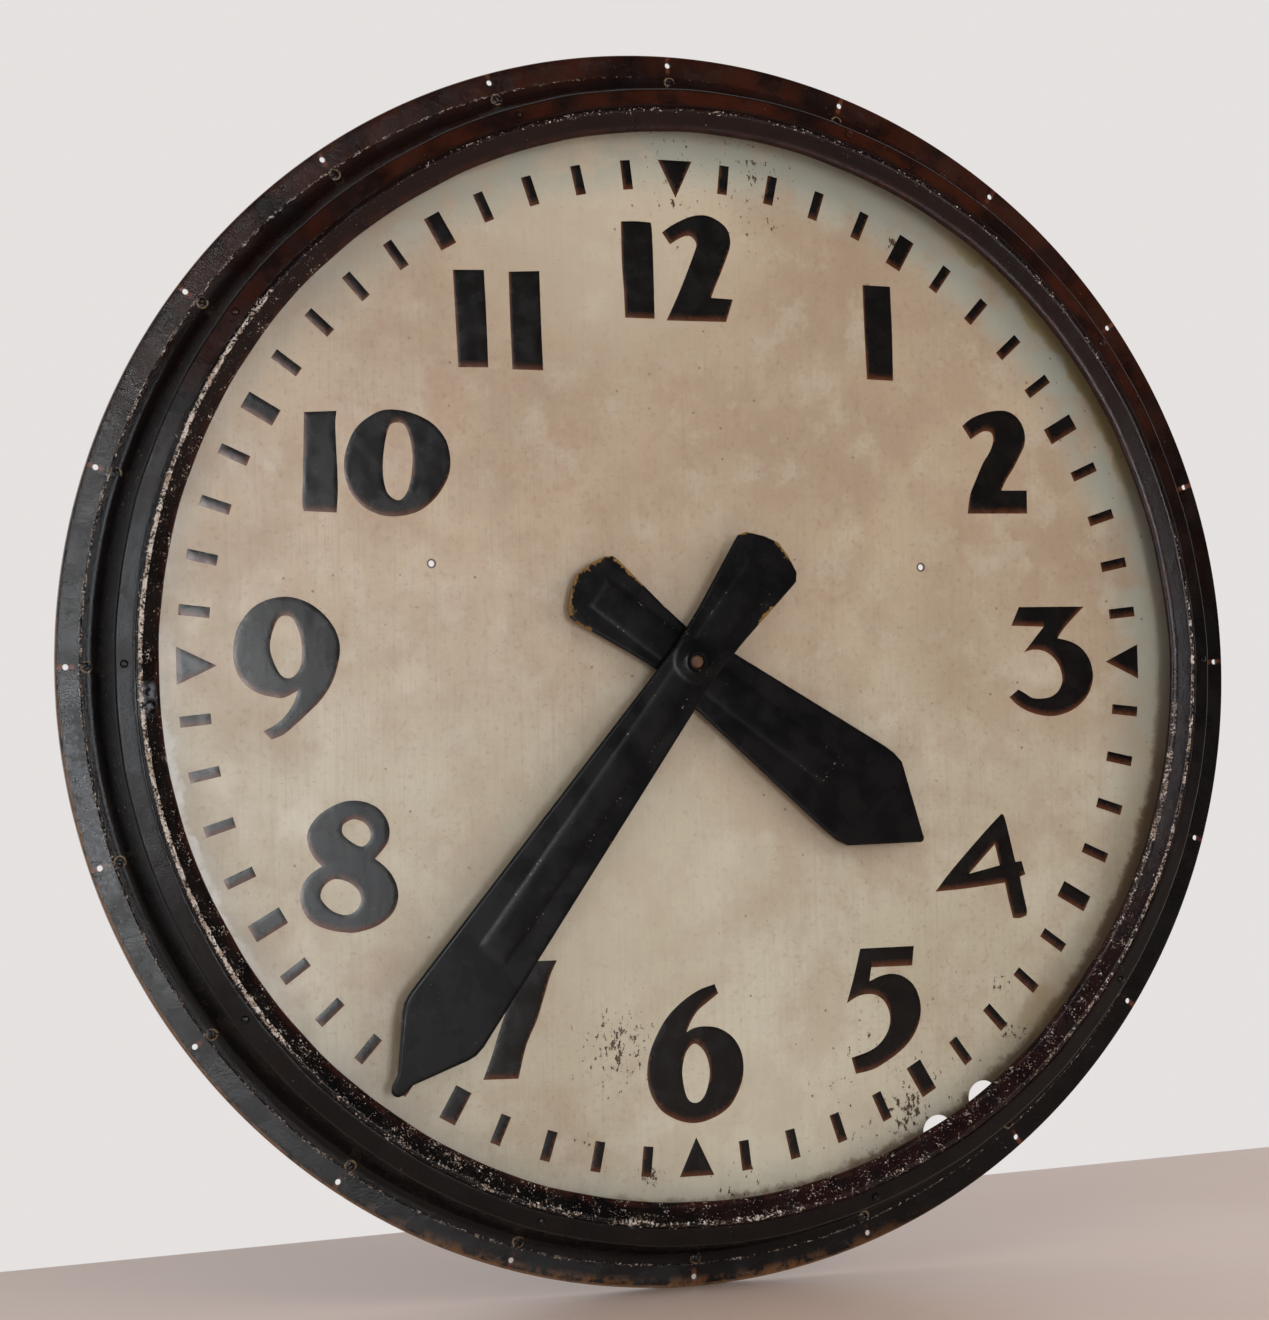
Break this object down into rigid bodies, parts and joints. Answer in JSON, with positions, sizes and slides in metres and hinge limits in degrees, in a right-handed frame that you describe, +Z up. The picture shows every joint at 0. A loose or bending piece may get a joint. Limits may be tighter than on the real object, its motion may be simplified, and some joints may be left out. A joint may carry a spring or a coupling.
{
  "type": "wall clock",
  "caption": "Large round flush-fixed wall clock: painted dial in a stepped black bezel, two pressed hands on a slim impulse movement, open back.",
  "frame": {"origin": "on the hand axis, in the plane of the wall that the flange lies against", "axes": "+X to the right of someone facing the dial, +Y into the wall, +Z up towards twelve"},
  "size_m": [1, 0.0566, 1],
  "materials": {
    "black_paint": "bitumen-black oil paint over sheet steel, semi-gloss, chipped along the ridges",
    "dial_paint": "aged cream dial paint, semi-gloss, mottled and lightly streaked",
    "hand_paint": "satin black paint with ochre primer showing at worn edges",
    "galvanised": "dull zinc-plated steel",
    "brass": "toned brass, brushed",
    "steel": "ground steel",
    "rusty_steel": "browned, rusty steel",
    "coil_tape": "varnished cotton tape over the winding",
    "bakelite": "dark brown moulded phenolic"
  },
  "bodies": {
    "case": {"flange_ring": "black_paint", "bezel_ring": "black_paint", "band_screw_1": "black_paint", "band_screw_2": "black_paint", "band_screw_3": "black_paint", "band_screw_4": "black_paint", "band_screw_5": "black_paint", "band_screw_6": "black_paint", "band_screw_7": "black_paint", "band_screw_8": "black_paint", "band_screw_9": "black_paint", "band_screw_10": "black_paint", "dial_ring": "black_paint", "dial_plate": "dial_paint", "dial_bolt_1": "galvanised", "dial_bolt_2": "galvanised", "dial_bolt_3": "galvanised", "dial_bolt_4": "galvanised", "dial_bolt_5": "galvanised", "dial_bolt_6": "galvanised", "support_bar": "galvanised", "bar_screw_1": "galvanised", "bar_screw_2": "galvanised", "bar_screw_3": "galvanised", "bar_screw_4": "galvanised", "back_plate": "brass", "front_plate": "brass", "pillar_1": "brass", "pillar_2": "brass", "pillar_3": "brass", "pillar_4": "brass", "plate_screw_1": "steel", "plate_screw_2": "steel", "plate_screw_3": "steel", "plate_screw_4": "steel", "hour_bush": "brass", "magnet_yoke": "steel", "magnet_core_1": "steel", "magnet_core_2": "steel", "coil_1": "coil_tape", "coil_2": "coil_tape", "return_spring": "steel", "terminal_block": "bakelite", "terminal_screw_1": "brass", "terminal_screw_2": "brass"},
    "minute_train": {"centre_arbor": "rusty_steel", "ratchet_wheel": "brass", "cannon_pinion": "steel", "minute_hand": "hand_paint", "minute_bush": "hand_paint"},
    "intermediate": {"minute_wheel": "brass", "minute_pinion": "steel"},
    "hour_train": {"hour_wheel": "brass", "hour_pipe": "steel", "hour_collet": "brass", "hour_hand": "hand_paint"},
    "armature": {"armature": "steel"},
    "drive_pawl": {"drive_pawl": "steel"},
    "stop_pawl": {"stop_pawl": "steel"}
  },
  "joints": [
    {"name": "minute_arbor", "type": "hinge", "parent": "case", "child": "minute_train", "pos_m": [0, 0, 0], "axis": [0, 1, 0], "continuous": true},
    {"name": "hour_pipe", "type": "hinge", "parent": "case", "child": "hour_train", "pos_m": [0, 0, 0], "axis": [0, 1, 0], "continuous": true},
    {"name": "minute_wheel", "type": "hinge", "parent": "case", "child": "intermediate", "pos_m": [0.0384, 0, 0], "axis": [0, 1, 0], "continuous": true},
    {"name": "armature_rock", "type": "hinge", "parent": "case", "child": "armature", "pos_m": [-0.05, 0, -0.04], "axis": [0, 1, 0], "range_deg": [-2.9, 0], "stiffness_Nm_per_rad": 0.4, "springref_deg": 2.86},
    {"name": "drive_pawl_lift", "type": "hinge", "parent": "armature", "child": "drive_pawl", "pos_m": [-0.05, 0, 0.039], "axis": [0, 1, 0], "range_deg": [-3.5, 0], "stiffness_Nm_per_rad": 0.02, "springref_deg": 5.73},
    {"name": "stop_pawl_lift", "type": "hinge", "parent": "case", "child": "stop_pawl", "pos_m": [0.034, 0, -0.041], "axis": [0, 1, 0], "range_deg": [-8, 0], "stiffness_Nm_per_rad": 0.02, "springref_deg": 5.73}
  ],
  "couplings": [
    {"joint": "hour_pipe", "follows": "minute_arbor", "ratio": 0.083333},
    {"joint": "minute_wheel", "follows": "minute_arbor", "ratio": -0.33333}
  ]
}
